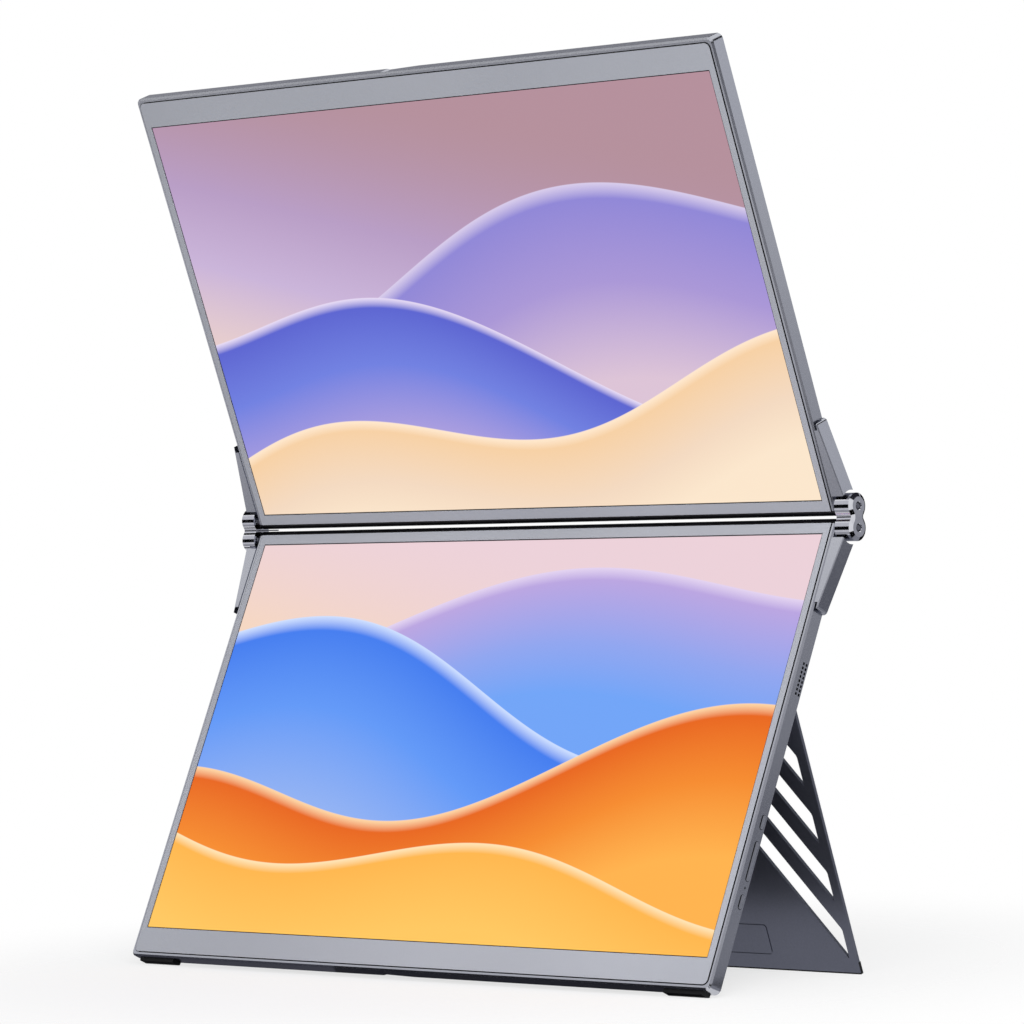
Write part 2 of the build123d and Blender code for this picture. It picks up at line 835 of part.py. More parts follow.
def placed(plane, x, y, z):
    """A point of a panel, in the finished part."""
    point = centre.position + plane.from_local_coords(Vector(x, y, z))
    return [round(value, 4) for value in (point.X, point.Y, point.Z)]


print("lower axis", placed(lower_plane, 0, 0, 0))
print("upper axis", placed(upper_plane, 0, 0, 0))
print("stand axis", placed(lower_plane, 0, -stand_pivot, stand_axis_z))
for name, values in zip(("power_button", "menu_rocker", "back_button"), controls()):
    print(name, placed(lower_plane, half_width, -values[0], button_z))
print("stand folded at", -stand_angle, "stand length", round(stand_length, 3))
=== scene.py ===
import json
import math

import bpy
import numpy as np
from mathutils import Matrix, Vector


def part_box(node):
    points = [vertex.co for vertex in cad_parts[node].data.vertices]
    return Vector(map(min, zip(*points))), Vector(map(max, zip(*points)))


# Two stacked displays on a pair of figure-eight hinge links, propped up by a slotted kickstand.
# Everything is in metres in the frame of the solids; MM turns the sizes of the finishes into metres.

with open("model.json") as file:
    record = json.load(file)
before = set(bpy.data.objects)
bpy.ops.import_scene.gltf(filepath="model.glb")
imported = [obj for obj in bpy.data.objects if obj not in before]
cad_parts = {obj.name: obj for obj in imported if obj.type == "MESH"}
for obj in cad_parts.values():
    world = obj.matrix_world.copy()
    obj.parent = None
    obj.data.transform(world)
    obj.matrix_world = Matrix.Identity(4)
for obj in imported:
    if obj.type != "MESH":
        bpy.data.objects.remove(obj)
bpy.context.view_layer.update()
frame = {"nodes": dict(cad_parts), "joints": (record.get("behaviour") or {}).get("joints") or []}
nodes = frame["nodes"]
joints = {joint["name"]: joint for joint in frame["joints"]}


# Sizes of the solids that the finishes follow

MM = 0.001
LOWER_LEAN = 26.2             # degrees that the lower panel leans back
UPPER_LEAN = 18.95            # degrees that the upper panel leans forward

# the hinge axis and the turn of a panel: its x runs along the hinge, y up the panel, z out of its front
LOWER_PLACE = (np.array(joints["lower_axis"]["pos_m"]), math.radians(90 - LOWER_LEAN))
UPPER_PLACE = (np.array(joints["upper_axis"]["pos_m"]), math.radians(90 + UPPER_LEAN))

# in millimetres on a panel, with places from its hinge axis
DISPLAY_HALF_WIDTH = 172.08
DISPLAY_NEAR = 3.95
DISPLAY_FAR = 197.54
DISPLAY_MASK_AND_SHADE = 0.48         # black round the picture: the display's black mask, and painted shade in the step down from the bezel
DISPLAY_FACE = 2.05           # only what lies in front of this glows
BEZEL_HALF_WIDTH = 175.46
BEZEL_FAR = 209.32
BEZEL_CORNER = 2.6
# the width of the painted shade line along a bezel's edge, standing for the shade in the groove to the tray
SHADE_LINE_WIDTH = 0.14
SHADE_LINE_PAST_HINGE = 20.0      # the painted shade line has no side along the hinge, so its outline runs on past the axis
CAP_THICKNESS = 0.04
CAP_SHADE_FRONT = -0.3              # where the metal of a button cap ends towards the front, and the painted shade strip along its front edge starts

# half of the width over which one colour passes into the next
LINE_BLUR = 0.02
EDGE_BLUR = 0.05
CREST_BLUR = 0.2


# Nodes and colours

def linear(colour):
    """An sRGB hex colour as linear red, green, blue and alpha."""
    srgb = np.array([int(colour[i:i + 2], 16) for i in (1, 3, 5)]) / 255
    rgb = np.where(srgb <= 0.04045, srgb / 12.92, ((srgb + 0.055) / 1.055) ** 2.4)
    return (*rgb.tolist(), 1.0)


def add(tree, kind, inputs=None, stops=None, **settings):
    """Add a node: settings are its properties, inputs its sockets' values or the sockets linked to them,
    and stops the places and hex colours of a ramp."""
    node = tree.nodes.new("ShaderNode" + kind)
    for key, value in settings.items():
        setattr(node, key, value)
    for key, value in (inputs or {}).items():
        if isinstance(value, bpy.types.NodeSocket):
            tree.links.new(value, node.inputs[key])
        else:
            node.inputs[key].default_value = value
    for i, (place, colour) in enumerate(stops or []):
        element = node.color_ramp.elements[i] if i < 2 else node.color_ramp.elements.new(place)
        element.position = place
        element.color = linear(colour)
    return node


def blank(name):
    """A new material with nothing but its Object coordinates: (material, tree, coordinates)."""
    material = bpy.data.materials.new(name)
    material.use_nodes = True
    tree = material.node_tree
    tree.nodes.clear()
    return material, tree, add(tree, "TexCoord").outputs["Object"]


def finished(material, inputs):
    """The material with its Principled shader, which has these values and links."""
    shader = add(material.node_tree, "BsdfPrincipled", inputs)
    add(material.node_tree, "OutputMaterial", {"Surface": shader.outputs[0]})
    return material


def mottle(tree, coords, fine, cloud, share):
    """A fine noise over a cloudy one, each given as its size in millimetres and its detail. The tone is share
    of the fine noise and the rest of the cloud. Gives (fine noise, tone)."""
    grain, drift = (
        add(tree, "TexNoise", {"Vector": coords, "Scale": 1 / (size * MM), "Detail": detail}).outputs[0]
        for size, detail in (fine, cloud)
    )
    part = add(tree, "Math", {0: grain, 1: share}, operation="MULTIPLY").outputs[0]
    tone = add(tree, "Math", {0: drift, 1: 1 - share, 2: part}, operation="MULTIPLY_ADD").outputs[0]
    return grain, tone


def on_panel(tree, coords, place):
    """Object coordinates as millimetres on a panel: x along the hinge, y up the panel, z out of its front."""
    axis, turn = place
    return add(tree, "Mapping", {"Vector": coords, "Location": axis, "Rotation": (turn, 0, 0),
                                 "Scale": (MM, MM, MM)}, vector_type="TEXTURE").outputs[0]


def seen_directly(tree):
    """1 for rays from the camera, a mirror or glass, and 0 for scattered light."""
    path = add(tree, "LightPath").outputs
    seen = path["Is Camera Ray"]
    for ray in ("Is Glossy Ray", "Is Transmission Ray"):
        seen = add(tree, "Math", {0: seen, 1: path[ray]}, operation="ADD", use_clamp=True).outputs[0]
    return seen


# Finishes

def anodised_aluminium(name, light, dark, rough):
    """Aluminium, bead-blasted and anodised grey: a satin metal with an even fine grit and soft highlights."""
    material, tree, coords = blank(name)
    # the blasted grit is about 0.1 mm across, drawn at 0.7 mm so that it shows
    grit, tone = mottle(tree, coords, (0.7, 2.0), (60, 1.0), 0.35)
    colour = add(tree, "ValToRGB", {0: tone}, stops=[(0.3, dark), (0.7, light)]).outputs[0]
    spread = add(tree, "MapRange", {"Value": grit, "To Min": rough - 0.03, "To Max": rough + 0.03}).outputs[0]
    return finished(material, {"Metallic": 1.0, "Base Color": colour, "Roughness": spread})


def cap_with_painted_shade(name, light, dark, face):
    """An anodised aluminium cap on a button, with painted shade: metal on the outer face, and black painted
    on the sides that go into the wall and on a thin strip along the cap's front edge, standing for the shade
    of the gap round the button."""
    material, tree, coords = blank(name)
    # the blasted grit is about 0.1 mm across, drawn at 0.7 mm so that it shows
    grit = add(tree, "TexNoise", {"Vector": coords, "Scale": 1 / (0.7 * MM), "Detail": 2.0}).outputs[0]
    metal = add(tree, "ValToRGB", {0: grit}, stops=[(0.3, dark), (0.7, light)]).outputs[0]
    out = add(tree, "SeparateXYZ", {0: coords}).outputs[0]
    cap = add(tree, "MapRange", {"Value": out, "From Min": face - (CAP_THICKNESS + LINE_BLUR) * MM,
                                 "From Max": face - (CAP_THICKNESS - LINE_BLUR) * MM}).outputs[0]
    front = add(tree, "SeparateXYZ", {0: on_panel(tree, coords, LOWER_PLACE)}).outputs[2]
    edge = add(tree, "MapRange", {"Value": front, "From Min": CAP_SHADE_FRONT - EDGE_BLUR,
                                  "From Max": CAP_SHADE_FRONT + EDGE_BLUR}).outputs[0]
    cap = add(tree, "Math", {0: cap, 1: edge}, operation="SUBTRACT", use_clamp=True).outputs[0]
    # painted shade: black on the cap's sides and on the strip along its front edge
    colour = add(tree, "Mix", {0: cap, 6: linear("#0C0C0F"), 7: metal}, data_type="RGBA").outputs[2]
    return finished(material, {"Roughness": 0.3, "Base Color": colour, "Metallic": cap})


def bezel_plastic(name, light, dark, place, side):
    """ABS, moulded in a finely eroded mould and painted grey: matt, with a very fine even stipple. A thin
    black line of painted shade runs along the edge that meets the tray, standing for the shade in the groove
    there.
    The line is drawn where the distance to the edge of a rounded rectangle,
    length(max(|p - middle| - half, 0)) - corner, is above minus the line's width. The side is 1 for a panel
    above its hinge and -1 for one below."""
    material, tree, coords = blank(name)
    # the stipple is about 0.15 mm across, drawn at 0.6 mm so that it shows
    stipple, tone = mottle(tree, coords, (0.6, 2.0), (90, 0.0), 0.3)
    colour = add(tree, "ValToRGB", {0: tone}, stops=[(0.3, dark), (0.7, light)]).outputs[0]
    middle = (0, side * (BEZEL_FAR - SHADE_LINE_PAST_HINGE) / 2, 0)
    half = (BEZEL_HALF_WIDTH - BEZEL_CORNER, (BEZEL_FAR + SHADE_LINE_PAST_HINGE) / 2 - BEZEL_CORNER, 0)
    spot = on_panel(tree, coords, place)
    for operation, value in (("MULTIPLY", (1, 1, 0)), ("SUBTRACT", middle), ("ABSOLUTE", (0, 0, 0)),
                             ("SUBTRACT", half), ("MAXIMUM", (0, 0, 0))):
        spot = add(tree, "VectorMath", {0: spot, 1: value}, operation=operation).outputs[0]
    reach = add(tree, "VectorMath", {0: spot}, operation="LENGTH").outputs["Value"]
    inner = BEZEL_CORNER - SHADE_LINE_WIDTH
    shade_line = add(tree, "MapRange", {"Value": reach, "From Min": inner - LINE_BLUR,
                                    "From Max": inner + LINE_BLUR}).outputs[0]
    # painted shade: the black line along the bezel's edge, standing for the shade in the groove to the tray
    colour = add(tree, "Mix", {0: shade_line, 6: colour, 7: linear("#0B0B0E")}, data_type="RGBA").outputs[2]
    rough = add(tree, "MapRange", {"Value": stipple, "To Min": 0.50, "To Max": 0.62}).outputs[0]
    bump = add(tree, "Bump", {"Height": stipple, "Strength": 0.15, "Distance": 0.03 * MM}).outputs[0]
    return finished(material, {"Specular IOR Level": 0.35, "Base Color": colour, "Roughness": rough,
                               "Normal": bump})


def lit_display(name, place, low, high, backdrop, ridges):
    """A lit liquid-crystal display behind an anti-glare film: an even glow, hardly any reflection, and a
    black border that is the display's black mask and painted shade in the step down from the bezel. It shows
    soft
    layered hills: each crest is a sine of x on a slope, and its colours run down from the crest."""
    material, tree, coords = blank(name)
    spot = on_panel(tree, coords, place)
    x, y, z = add(tree, "SeparateXYZ", {0: spot}).outputs
    direction, stops = backdrop
    run = add(tree, "VectorMath", {0: spot, 1: (*direction, 0)}, operation="DOT_PRODUCT").outputs["Value"]
    run = add(tree, "MapRange", {"Value": run, "From Min": low * direction[1],
                                 "From Max": high * direction[1]}, interpolation_type="SMOOTHSTEP").outputs[0]
    colour = add(tree, "ValToRGB", {0: run}, stops=stops).outputs[0]
    for base, slope, swell, length, shift, depth, stops in ridges:
        pace = 2 * math.pi / length
        wave = add(tree, "Math", {0: x, 1: pace, 2: shift}, operation="MULTIPLY_ADD").outputs[0]
        wave = add(tree, "Math", {0: wave}, operation="SINE").outputs[0]
        wave = add(tree, "Math", {0: wave, 1: swell, 2: base}, operation="MULTIPLY_ADD").outputs[0]
        crest = add(tree, "Math", {0: x, 1: slope, 2: wave}, operation="MULTIPLY_ADD").outputs[0]
        below = add(tree, "Math", {0: crest, 1: y}, operation="SUBTRACT").outputs[0]
        inside = add(tree, "MapRange", {"Value": below, "From Min": -CREST_BLUR,
                                        "From Max": CREST_BLUR}).outputs[0]
        run = add(tree, "MapRange", {"Value": below, "From Max": depth}).outputs[0]
        layer = add(tree, "ValToRGB", {0: run}, stops=stops).outputs[0]
        colour = add(tree, "Mix", {0: inside, 6: colour, 7: layer}, data_type="RGBA").outputs[2]
    # painted shade: the black border stands for the shade in the step down from the bezel as well as for the
    # display's black mask
    mask_and_shade = 0.0
    for along, middle, half in ((x, 0, DISPLAY_HALF_WIDTH), (y, (low + high) / 2, (high - low) / 2)):
        reach = add(tree, "Math", {0: along, 1: middle}, operation="SUBTRACT").outputs[0]
        reach = add(tree, "Math", {0: reach}, operation="ABSOLUTE").outputs[0]
        inner = half - DISPLAY_MASK_AND_SHADE
        beyond = add(tree, "MapRange", {"Value": reach, "From Min": inner - EDGE_BLUR,
                                        "From Max": inner + EDGE_BLUR}).outputs[0]
        mask_and_shade = add(tree, "Math", {0: mask_and_shade, 1: beyond}, operation="MAXIMUM").outputs[0]
    front = add(tree, "MapRange", {"Value": z, "From Min": DISPLAY_FACE - EDGE_BLUR,
                                   "From Max": DISPLAY_FACE + EDGE_BLUR}).outputs[0]
    shown = add(tree, "Math", {0: front, 1: mask_and_shade}, operation="SUBTRACT", use_clamp=True).outputs[0]
    colour = add(tree, "Mix", {0: shown, 6: linear("#000000"), 7: colour}, data_type="RGBA").outputs[2]
    return finished(material, {"Roughness": 0.42, "Base Color": linear("#08080A"), "Specular IOR Level": 0.12,
                               "Emission Color": colour, "Emission Strength": 1.0})


def gloss_black(name, colour, rough):
    """ABS, moulded against a polished mould: black and glossy, with a faint flow ripple."""
    material, tree, coords = blank(name)
    ripple = add(tree, "TexNoise", {"Vector": coords, "Scale": 1 / (9 * MM), "Detail": 1.0}).outputs[0]
    tone = add(tree, "ValToRGB", {0: ripple}, stops=[(0.2, "#050507"), (0.8, colour)]).outputs[0]
    spread = add(tree, "MapRange", {"Value": ripple, "To Min": rough - 0.03,
                                    "To Max": rough + 0.05}).outputs[0]
    return finished(material, {"Specular IOR Level": 0.2, "Base Color": tone, "Roughness": spread})


def plated_metal(name, light, dark, rough):
    """Zinc, die-cast, polished and plated in gunmetal: clear bands of dark and light with a slight haze."""
    material, tree, coords = blank(name)
    haze = add(tree, "TexNoise", {"Vector": coords, "Scale": 1 / (2.5 * MM), "Detail": 3.0}).outputs[0]
    tone = add(tree, "ValToRGB", {0: haze}, stops=[(0.3, dark), (0.7, light)]).outputs[0]
    spread = add(tree, "MapRange", {"Value": haze, "To Min": rough - 0.03, "To Max": rough + 0.03}).outputs[0]
    return finished(material, {"Metallic": 1.0, "Base Color": tone, "Roughness": spread})


def turned_steel(name):
    """Steel, turned and plated: a cool grey with fine rings from the tool."""
    material, tree, coords = blank(name)
    # the tool marks are about 0.1 mm apart, drawn about 2.5 mm apart so that they show: the wave's bands lie
    # closer together than its scale says, by 2 pi / 20
    rings = add(tree, "TexWave", {"Vector": coords, "Scale": 1 / (8 * MM), "Distortion": 1.5},
                bands_direction="X").outputs[1]
    tone = add(tree, "ValToRGB", {0: rings}, stops=[(0.0, "#6F7077"), (1.0, "#8E8F97")]).outputs[0]
    spread = add(tree, "MapRange", {"Value": rings, "To Min": 0.26, "To Max": 0.38}).outputs[0]
    return finished(material, {"Metallic": 1.0, "Base Color": tone, "Roughness": spread})


def dark_sheet(name, light, dark):
    """Aluminium sheet, laser-cut, blasted and anodised dark grey: a dull metal with a fine sandy grain."""
    material, tree, coords = blank(name)
    # the blasted grain is about 0.1 mm across, drawn at 0.8 mm so that it shows
    grain, tone = mottle(tree, coords, (0.8, 3.0), (45, 1.0), 0.5)
    colour = add(tree, "ValToRGB", {0: tone}, stops=[(0.3, dark), (0.7, light)]).outputs[0]
    rough = add(tree, "MapRange", {"Value": grain, "To Min": 0.30, "To Max": 0.38}).outputs[0]
    return finished(material, {"Metallic": 0.9, "Base Color": colour, "Roughness": rough})


def moulded_rubber(name):
    """Silicone rubber, moulded: black, dull, with a soft mottle."""
    material, tree, coords = blank(name)
    grain = add(tree, "TexNoise", {"Vector": coords, "Scale": 1 / (1.2 * MM), "Detail": 3.0}).outputs[0]
    tone = add(tree, "ValToRGB", {0: grain}, stops=[(0.3, "#0B0B0D"), (0.7, "#17171A")]).outputs[0]
    rough = add(tree, "MapRange", {"Value": grain, "To Min": 0.6, "To Max": 0.8}).outputs[0]
    bump = add(tree, "Bump", {"Height": grain, "Strength": 0.2, "Distance": 0.05 * MM}).outputs[0]
    return finished(material, {"Specular IOR Level": 0.3, "Base Color": tone, "Roughness": rough,
                               "Normal": bump})


def circuit_board(name):
    """Glass-fibre laminate under green solder mask: copper tracks show as a lighter grid under a lacquer."""
    material, tree, coords = blank(name)
    tracks = add(tree, "TexBrick", {"Vector": coords, "Scale": 1 / (6 * MM), "Mortar Size": 0.08,
                                    "Color1": linear("#0E3B26"), "Color2": linear("#124A2F"),
                                    "Mortar": linear("#2C7A4F")}).outputs[0]
    return finished(material, {"Roughness": 0.35, "Base Color": tracks})


def diffuser(name):
    """Acrylic light guide with a white printed dot pattern: milky white, satin."""
    material, tree, coords = blank(name)
    dots = add(tree, "TexVoronoi", {"Vector": coords, "Scale": 1 / (2 * MM)}).outputs[0]
    tone = add(tree, "ValToRGB", {0: dots}, stops=[(0.15, "#FFFFFF"), (0.5, "#DADDE2")]).outputs[0]
    return finished(material, {"Roughness": 0.3, "Base Color": tone})


def dark_moulding(name):
    """Glass-filled nylon, moulded: near black, with faint pale flow streaks."""
    material, tree, coords = blank(name)
    streaks = add(tree, "TexNoise", {"Vector": coords, "Scale": 1 / (3 * MM), "Detail": 4.0}).outputs[0]
    tone = add(tree, "ValToRGB", {0: streaks}, stops=[(0.3, "#141418"), (0.7, "#232329")]).outputs[0]
    rough = add(tree, "MapRange", {"Value": streaks, "To Min": 0.4, "To Max": 0.6}).outputs[0]
    return finished(material, {"Specular IOR Level": 0.4, "Base Color": tone, "Roughness": rough})


def smoked_lens(name):
    """Polycarbonate light pipe, unlit: dark smoke seen through a polished end, a little cloudy."""
    material, tree, coords = blank(name)
    smoke = add(tree, "TexNoise", {"Vector": coords, "Scale": 1 / (0.6 * MM), "Detail": 1.0}).outputs[0]
    tone = add(tree, "ValToRGB", {0: smoke}, stops=[(0.3, "#2A2B31"), (0.7, "#3A3C44")]).outputs[0]
    return finished(material, {"Roughness": 0.15, "Base Color": tone})


# What the displays show: (direction, colours) of the backdrop, then each crest's
# (height, slope, swell, wave length, shift, depth, colours from the crest down), in millimetres on the panel

UPPER_ART = ((0.25, 1.0), [(0.0, "#F2D7C6"), (0.4, "#C9B3D8"), (0.7, "#B79CC4"), (1.0, "#B48F9B")]), [
    (120.0, 0.10, 26.0, 420.0, 0.6, 90.0,
     [(0.0, "#D9CDEB"), (0.08, "#8F86D6"), (0.5, "#A996D6"), (1.0, "#DCC3D6")]),
    (78.0, -0.14, 22.0, 360.0, 2.4, 80.0,
     [(0.0, "#E9DDF5"), (0.06, "#5A63D0"), (0.4, "#6F7FE0"), (1.0, "#BFA9DC")]),
    (48.0, 0.12, 14.0, 300.0, 4.0, 50.0,
     [(0.0, "#FFE9CF"), (0.1, "#F6D0A4"), (0.6, "#F3D9C0"), (1.0, "#FBE6CC")]),
]
LOWER_ART = ((0.2, 1.0), [(0.0, "#FFD9A0"), (0.5, "#F8D8B4"), (1.0, "#EBD0D8")]), [
    (-40.0, 0.10, 18.0, 400.0, 1.2, 60.0,
     [(0.0, "#E3D3F0"), (0.1, "#B9A4E0"), (0.6, "#8FA4EE"), (1.0, "#6FA3F6")]),
    (-78.0, -0.12, 24.0, 380.0, 3.2, 90.0,
     [(0.0, "#CFE0FF"), (0.08, "#3F7BEE"), (0.5, "#5F97F6"), (1.0, "#8FB0F2")]),
    (-118.0, 0.10, 20.0, 340.0, 5.2, 70.0,
     [(0.0, "#FFD9A8"), (0.08, "#E8650C"), (0.5, "#F58A26"), (1.0, "#FFB24A")]),
    (-160.0, -0.08, 12.0, 300.0, 0.8, 40.0,
     [(0.0, "#FFE6B8"), (0.12, "#FFB64A"), (1.0, "#FFC75E")]),
]

ALUMINIUM_GREYS = ("#BEC0C8", "#B6B8C0")
BEZEL_GREYS = ("#AEB1BA", "#A6A9B2")
aluminium = anodised_aluminium("anodised_aluminium", *ALUMINIUM_GREYS, 0.20)
button_caps = cap_with_painted_shade("anodised_cap_with_painted_shade", *ALUMINIUM_GREYS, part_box("power_button")[1][0])
upper_bezel = bezel_plastic("matt_grey_abs_upper", *BEZEL_GREYS, UPPER_PLACE, 1)
lower_bezel = bezel_plastic("matt_grey_abs_lower", *BEZEL_GREYS, LOWER_PLACE, -1)
upper_film = lit_display("upper_display_film", UPPER_PLACE, DISPLAY_NEAR, DISPLAY_FAR, *UPPER_ART)
lower_film = lit_display("lower_display_film", LOWER_PLACE, -DISPLAY_FAR, -DISPLAY_NEAR, *LOWER_ART)
gunmetal = plated_metal("polished_gunmetal_plating", "#D2D3DA", "#C8C9D1", 0.09)
pin_metal = plated_metal("satin_gunmetal_plating", "#85868F", "#777882", 0.30)
finishes = {
    aluminium: "upper_rear_shell upper_hinge_arm_left upper_hinge_arm_right "
               "lower_rear_shell lower_hinge_arm_left lower_hinge_arm_right",
    button_caps: "power_button menu_rocker back_button",
    upper_bezel: "upper_bezel",
    lower_bezel: "lower_bezel",
    upper_film: "upper_display",
    lower_film: "lower_display",
    gunmetal: "hinge_link_left hinge_link_right",
    pin_metal: "lower_hinge_pin_left lower_hinge_pin_right upper_hinge_pin_left upper_hinge_pin_right "
               "cable_bridge",
    gloss_black("gloss_black_abs", "#0E0E13", 0.30): "lower_hinge_barrel upper_hinge_barrel",
    dark_sheet("dark_anodised_sheet", "#7C7F8C", "#727581"): "stand_plate",
    moulded_rubber("black_rubber"): "stand_foot_strip foot_left foot_right",
    turned_steel("turned_steel"):
        "lower_hinge_bracket_left lower_hinge_bracket_right lower_bracket_screws lower_friction_washers "
        "upper_hinge_bracket_left upper_hinge_bracket_right upper_bracket_screws upper_friction_washers "
        "main_board_screws driver_board_screws stand_rod usb_c_socket_1 usb_c_socket_2",
    circuit_board("green_laminate"): "main_board driver_board button_board",
    dark_moulding("black_nylon"): "speaker_left speaker_right",
    diffuser("white_light_guide"): "lower_backlight upper_backlight",
    smoked_lens("smoked_light_pipe"): "status_led",
}
for material, names in finishes.items():
    for name in names.split():
        nodes[name].data.materials.clear()
        nodes[name].data.materials.append(material)


# Floor and the cards that only reflections see

FLOOR_RADIUS = 1.3
FLOOR_SIDES = 96
FLOOR_FADE = (0.10, 0.38)     # distances from the middle between which the floor fades into the backdrop
FLOOR_GLOW = 0.70             # share of plain white in what the camera and mirrors see of it
CARD_TOP = 0.5                # height at which a card's grading ends
CARD_LIFT = 0.0003            # of the cards that lie on the floor


def mesh_piece(name, points, faces, material):
    """A new object at the origin from an array of points and an array of faces."""
    mesh = bpy.data.meshes.new(name)
    mesh.from_pydata(points, [], faces.tolist())
    mesh.update()
    piece = bpy.data.objects.new(name, mesh)
    bpy.context.scene.collection.objects.link(piece)
    mesh.materials.append(material)
    return piece


def rectangle(name, centre, across, up, material):
    """A flat card: centre plus or minus half of across and half of up."""
    centre, across, up = (np.array(v, float) for v in (centre, across, up))
    points = centre + np.array([[-1, -1], [1, -1], [1, 1], [-1, 1]]) @ np.stack([across, up]) / 2
    return mesh_piece(name, points, np.array([[0, 1, 2, 3]]), material)


def pale_floor(name):
    """A painted floor that fades into the backdrop: white where light falls, and it keeps the shadow."""
    material, tree, coords = blank(name)
    share = add(tree, "Math", {0: seen_directly(tree), 1: FLOOR_GLOW}, operation="MULTIPLY").outputs[0]
    paint = add(tree, "BsdfDiffuse", {"Color": linear("#F6F6F7")}).outputs[0]
    glow = add(tree, "Emission", {"Color": linear("#FFFFFF"), "Strength": 1.0}).outputs[0]
    near = add(tree, "MixShader", {0: share, 1: paint, 2: glow}).outputs[0]
    far = add(tree, "VectorMath", {0: coords}, operation="LENGTH").outputs["Value"]
    far = add(tree, "MapRange", {"Value": far, "From Min": FLOOR_FADE[0], "From Max": FLOOR_FADE[1]},
              interpolation_type="SMOOTHSTEP").outputs[0]
    clear = add(tree, "BsdfTransparent").outputs[0]
    add(tree, "OutputMaterial", {"Surface": add(tree, "MixShader", {0: far, 1: near, 2: clear}).outputs[0]})
    return material


def studio_card(name, stops):
    """A card that shines by itself: its colours run up from the floor."""
    material, tree, coords = blank(name)
    height = add(tree, "SeparateXYZ", {0: coords}).outputs[2]
    run = add(tree, "MapRange", {"Value": height, "From Max": CARD_TOP}).outputs[0]
    tone = add(tree, "ValToRGB", {0: run}, stops=stops).outputs[0]
    add(tree, "OutputMaterial", {"Surface": add(tree, "Emission", {"Color": tone}).outputs[0]})
    return material


angle = np.linspace(0, 2 * math.pi, FLOOR_SIDES + 1)[:-1]
ring = FLOOR_RADIUS * np.stack([np.cos(angle), np.sin(angle), np.zeros(FLOOR_SIDES)], 1)
floor = mesh_piece("floor", ring, np.arange(FLOOR_SIDES)[None, :], pale_floor("pale_floor"))

GRADING = [(0.0, "#9E9FA5"), (0.32, "#A5A6AC"), (0.44, "#B4B5BA"), (0.72, "#CBCCD1"), (0.84, "#D8D9DE"),
           (1.0, "#D8D9DE")]
PLAIN_TONES = {"charcoal": "#2B2B31", "lead": "#4B4B53", "slate": "#64656D", "stone": "#93949B",
               "grey": "#AAAAAF", "pale": "#BCBCC1", "silver": "#DCDCE0"}
tones = {tone: studio_card(tone + "_card", [(0.0, colour), (1.0, colour)])
         for tone, colour in PLAIN_TONES.items()}
tones["black"] = studio_card("black_card", [(0.0, "#08080A"), (1.0, "#0B0B0D")])
tones["graded"] = studio_card("graded_card", GRADING)

# (name, centre, across, up, tone) in metres
STANDING_CARDS = [
    # in front: the dark and pale bands on the polished links and on the edges that face the camera
    ("flag_front", (-0.75, -1.05, 0.255), (1.7, 0, 0), (0, 0, 0.51), "black"),
    ("flag_front_high", (-1.0, -1.05, 0.98), (2.4, 0, 0), (0, 0, 0.94), "silver"),
    ("flag_high_right", (0.66, -0.075, 0.957), (0.07, 0.28, 0), (-0.25, 0.06, 0.17), "black"),
    ("flag_front_right", (0.85, -0.49, 0.68), (0.353, 0.485, 0), (-0.234, 0.170, 0.408), "pale"),
    ("flag_front_low", (0.95, -0.68, 0.225), (0.345, 0.365, 0), (0, 0, 0.45), "black"),
    # at the right: the grading up the side walls, and a dark outline behind the link
    ("flag_right", (0.95, 0.84, 0.4), (0.95, -0.90, 0), (0, 0, 0.8), "graded"),
    ("flag_right_high", (0.95, 0.84, 1.225), (1.5, -1.42, 0), (0, 0, 0.75), "charcoal"),
    ("flag_link", (0.184, 0.0635, 0.195), (0.010, 0, 0), (0, 0, 0.034), "black"),
    # behind, at the left and overhead: what the backs and the far edges mirror
    ("flag_back", (-0.75, 1.6, 1.25), (2.1, 0, 0), (0, 0, 2.5), "stone"),
    ("flag_back_left", (-0.9, 0.975, 0.375), (0, 1.25, 0), (0, 0, 0.75), "grey"),
    ("flag_back_left_high", (-0.9, 0.975, 1.0), (0, 1.25, 0), (0, 0, 0.5), "stone"),
    ("flag_over_left", (-1.5, 0.36, 1.5), (1.4, 0, 0), (0, 2.08, 0), "black"),
]
# (name, centre, size, tone) on the floor in metres
FLOOR_CARDS = [
    # in front: what the links, the rims and other faces that look forwards and down mirror
    ("flag_floor_far_left", (-0.7, -0.875), (1.4, 0.35), "black"),
    ("flag_floor_mid_left", (-0.5, -0.49), (1.1, 0.42), "silver"),
    ("flag_floor_near_left", (-0.35, -0.19), (0.8, 0.18), "grey"),
    ("flag_floor_front", (0.39, -0.27), (0.3, 0.36), "black"),
    ("flag_floor_front_right", (0.61, -0.29), (0.14, 0.40), "grey"),
    ("flag_floor_far_right", (0.865, -0.57), (0.37, 0.56), "stone"),
    # at the right: what the side walls, their bevels and the right link mirror
    ("flag_floor_beside", (0.28, 0.01), (0.2, 0.18), "stone"),
    ("flag_floor_strip", (0.58, 0.0), (0.4, 0.2), "black"),
    ("flag_floor_right", (0.44, 0.47), (0.36, 0.74), "stone"),
    ("flag_floor_back_right", (0.96, 0.61), (0.68, 0.68), "slate"),
    # under and behind: what the stand and the backs mirror; the two dark cards under the panels are painted
    # shade, the floor's shadow there as reflections see it
    ("flag_floor_under_left", (-0.27, -0.03), (0.44, 0.06), "lead"),
    ("flag_floor_under", (0.061, -0.027), (0.222, 0.066), "charcoal"),
    ("flag_floor_behind", (-0.0575, 0.0705), (0.485, 0.129), "pale"),
    ("flag_floor_back", (-0.39, 0.52), (1.02, 0.76), "stone"),
    ("flag_floor_back_strip", (0.19, 0.45), (0.14, 0.5), "black"),
]
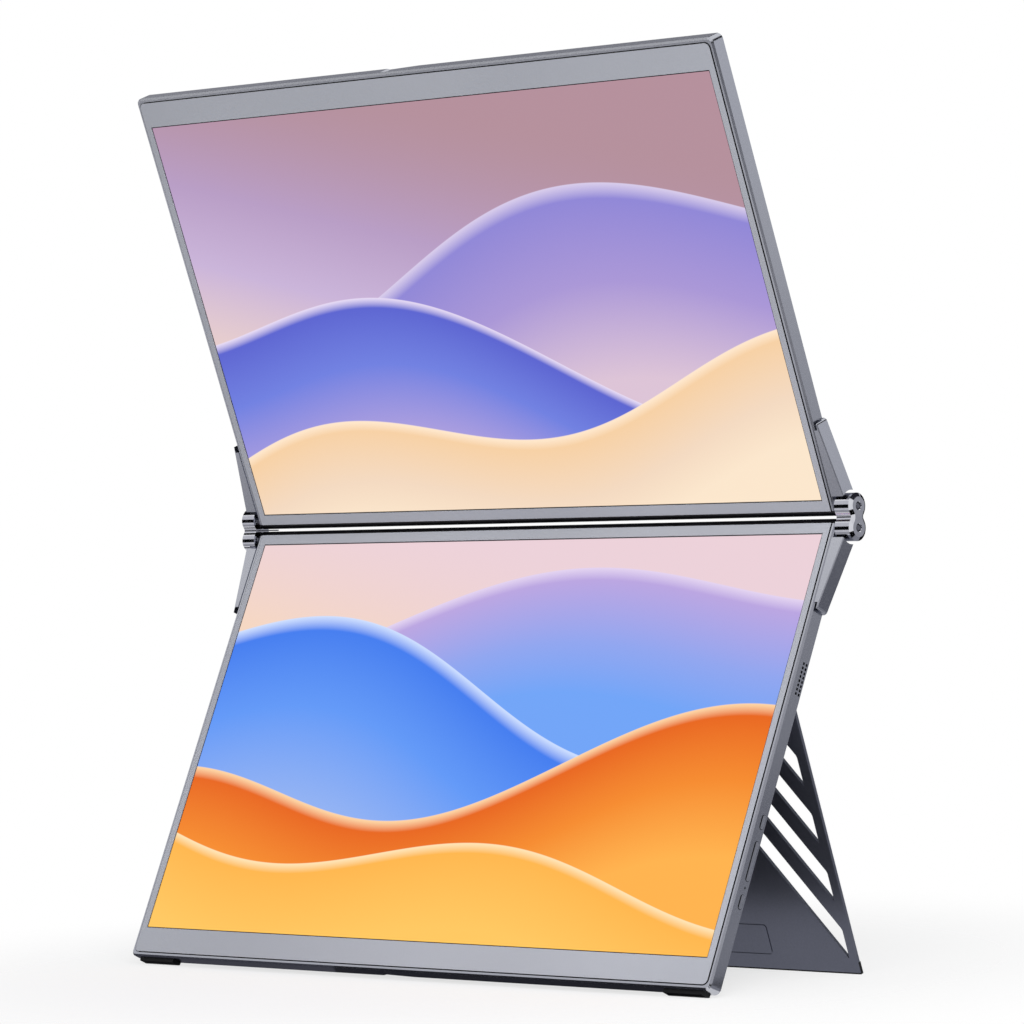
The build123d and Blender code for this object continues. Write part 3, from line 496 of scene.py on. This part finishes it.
# one more lies on the card beside the panel: the dark line at its lower right corner, painted shade for the
# floor's shadow below that corner
CORNER_CARD = ("flag_floor_corner", (0.207, -0.02, 2 * CARD_LIFT), (0.018, 0, 0), (0, 0.08, 0), "black")
cards = [rectangle(name, centre, across, up, tones[tone])
         for name, centre, across, up, tone in (*STANDING_CARDS, CORNER_CARD)]
cards += [rectangle(name, (*centre, CARD_LIFT), (size[0], 0, 0), (0, size[1], 0), tones[tone])
          for name, centre, size, tone in FLOOR_CARDS]
for card in cards:
    card.visible_camera = card.visible_diffuse = card.visible_shadow = card.visible_transmission = False


# Light and camera

SCATTERED_LIGHT = 0.39        # strength of the white backdrop as a light; the camera and mirrors see it at 1


def softbox(name, place, aim, size, power):
    """A square soft light at a place, turned towards a point."""
    lamp = bpy.data.lights.new(name, "AREA")
    lamp.size = size
    lamp.energy = power
    light = bpy.data.objects.new(name, lamp)
    bpy.context.scene.collection.objects.link(light)
    step = np.array(aim, float) - np.array(place, float)
    light.location = place
    light.rotation_euler = (math.acos(-step[2] / np.linalg.norm(step)), 0, math.atan2(-step[0], step[1]))
    light.visible_camera = light.visible_glossy = False


world = bpy.data.worlds.new("white_studio")
bpy.context.scene.world = world
world.use_nodes = True
studio = world.node_tree
studio.nodes.clear()
level = add(studio, "MapRange", {"Value": seen_directly(studio), "To Min": SCATTERED_LIGHT,
                                 "To Max": 1.0}).outputs[0]
sky = add(studio, "Background", {"Color": linear("#FFFFFF"), "Strength": level}).outputs[0]
add(studio, "OutputWorld", {"Surface": sky})

softbox("front_softbox", place=(0.9, -1.6, 0.42), aim=(0, 0, 0.2), size=1.4, power=19.0)
softbox("right_softbox", place=(0.75, -0.35, 0.95), aim=(0.19, 0, 0.25), size=0.5, power=5.0)

# solved from the eight corners of the two displays in the photograph
lens = bpy.data.cameras.new("camera")
lens.sensor_width = 36
lens.lens = 179.838
lens.clip_start = 0.05
lens.clip_end = 50
camera = bpy.data.objects.new("camera", lens)
bpy.context.scene.collection.objects.link(camera)
camera.location = (1.57726, -1.645918, 0.237135)
camera.rotation_euler = (math.radians(89.1496), math.radians(2.2638), math.radians(43.2505))
bpy.context.scene.camera = camera
bpy.context.scene.view_settings.view_transform = "Standard"
